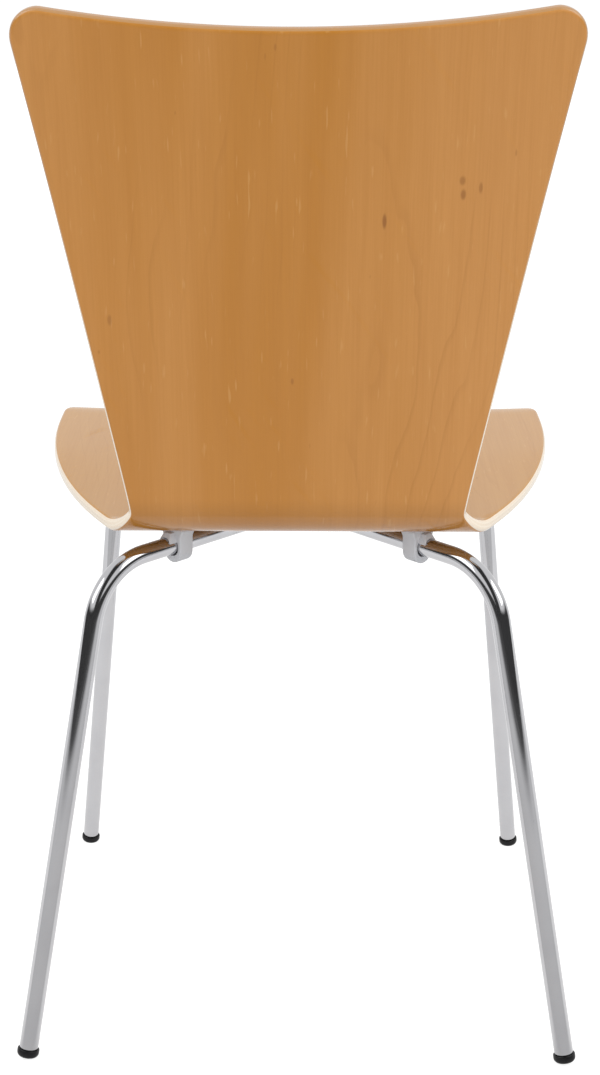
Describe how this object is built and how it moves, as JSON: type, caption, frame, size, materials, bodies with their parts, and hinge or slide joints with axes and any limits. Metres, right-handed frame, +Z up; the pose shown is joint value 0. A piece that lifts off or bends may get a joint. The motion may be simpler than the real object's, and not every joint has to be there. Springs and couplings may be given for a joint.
{
  "type": "stacking chair",
  "caption": "Stacking chair with a one-piece bent plywood seat and back, waisted at the bend, on a chromed tube frame with splayed legs and foot glides.",
  "frame": {"origin": "centre of the chair's bounding box at floor level", "axes": "+Z up, the sitter faces -Y, +X is the sitter's left"},
  "size_m": [0.4742, 0.505, 0.8586],
  "materials": {
    "veneer": "clear satin varnish over straight-grained honey veneer, with the pale plies showing at the rounded edge",
    "chrome": "bright polished chrome plate",
    "plate_steel": "zinc plated",
    "fastener_steel": "zinc plated",
    "insert_steel": "yellow passivated",
    "grey_plastic": "moulded, fine matt",
    "black_plastic": "moulded, satin",
    "pad_plastic": "matt"
  },
  "bodies": {
    "root": {"seat_shell": "veneer", "frame_tube_left": "chrome", "frame_tube_right": "chrome", "centre_plate": "plate_steel", "mounting_pad": "pad_plastic", "screw_left": "fastener_steel", "screw_right": "fastener_steel", "screw_front": "fastener_steel", "screw_rear": "fastener_steel", "washer_left": "fastener_steel", "washer_right": "fastener_steel", "washer_front": "fastener_steel", "washer_rear": "fastener_steel", "insert_left": "insert_steel", "insert_right": "insert_steel", "insert_front": "insert_steel", "insert_rear": "insert_steel", "spacer_front_left": "grey_plastic", "spacer_front_right": "grey_plastic", "spacer_rear_left": "grey_plastic", "spacer_rear_right": "grey_plastic", "glide_front_left": "black_plastic", "glide_front_right": "black_plastic", "glide_rear_left": "black_plastic", "glide_rear_right": "black_plastic"}
  },
  "joints": []
}
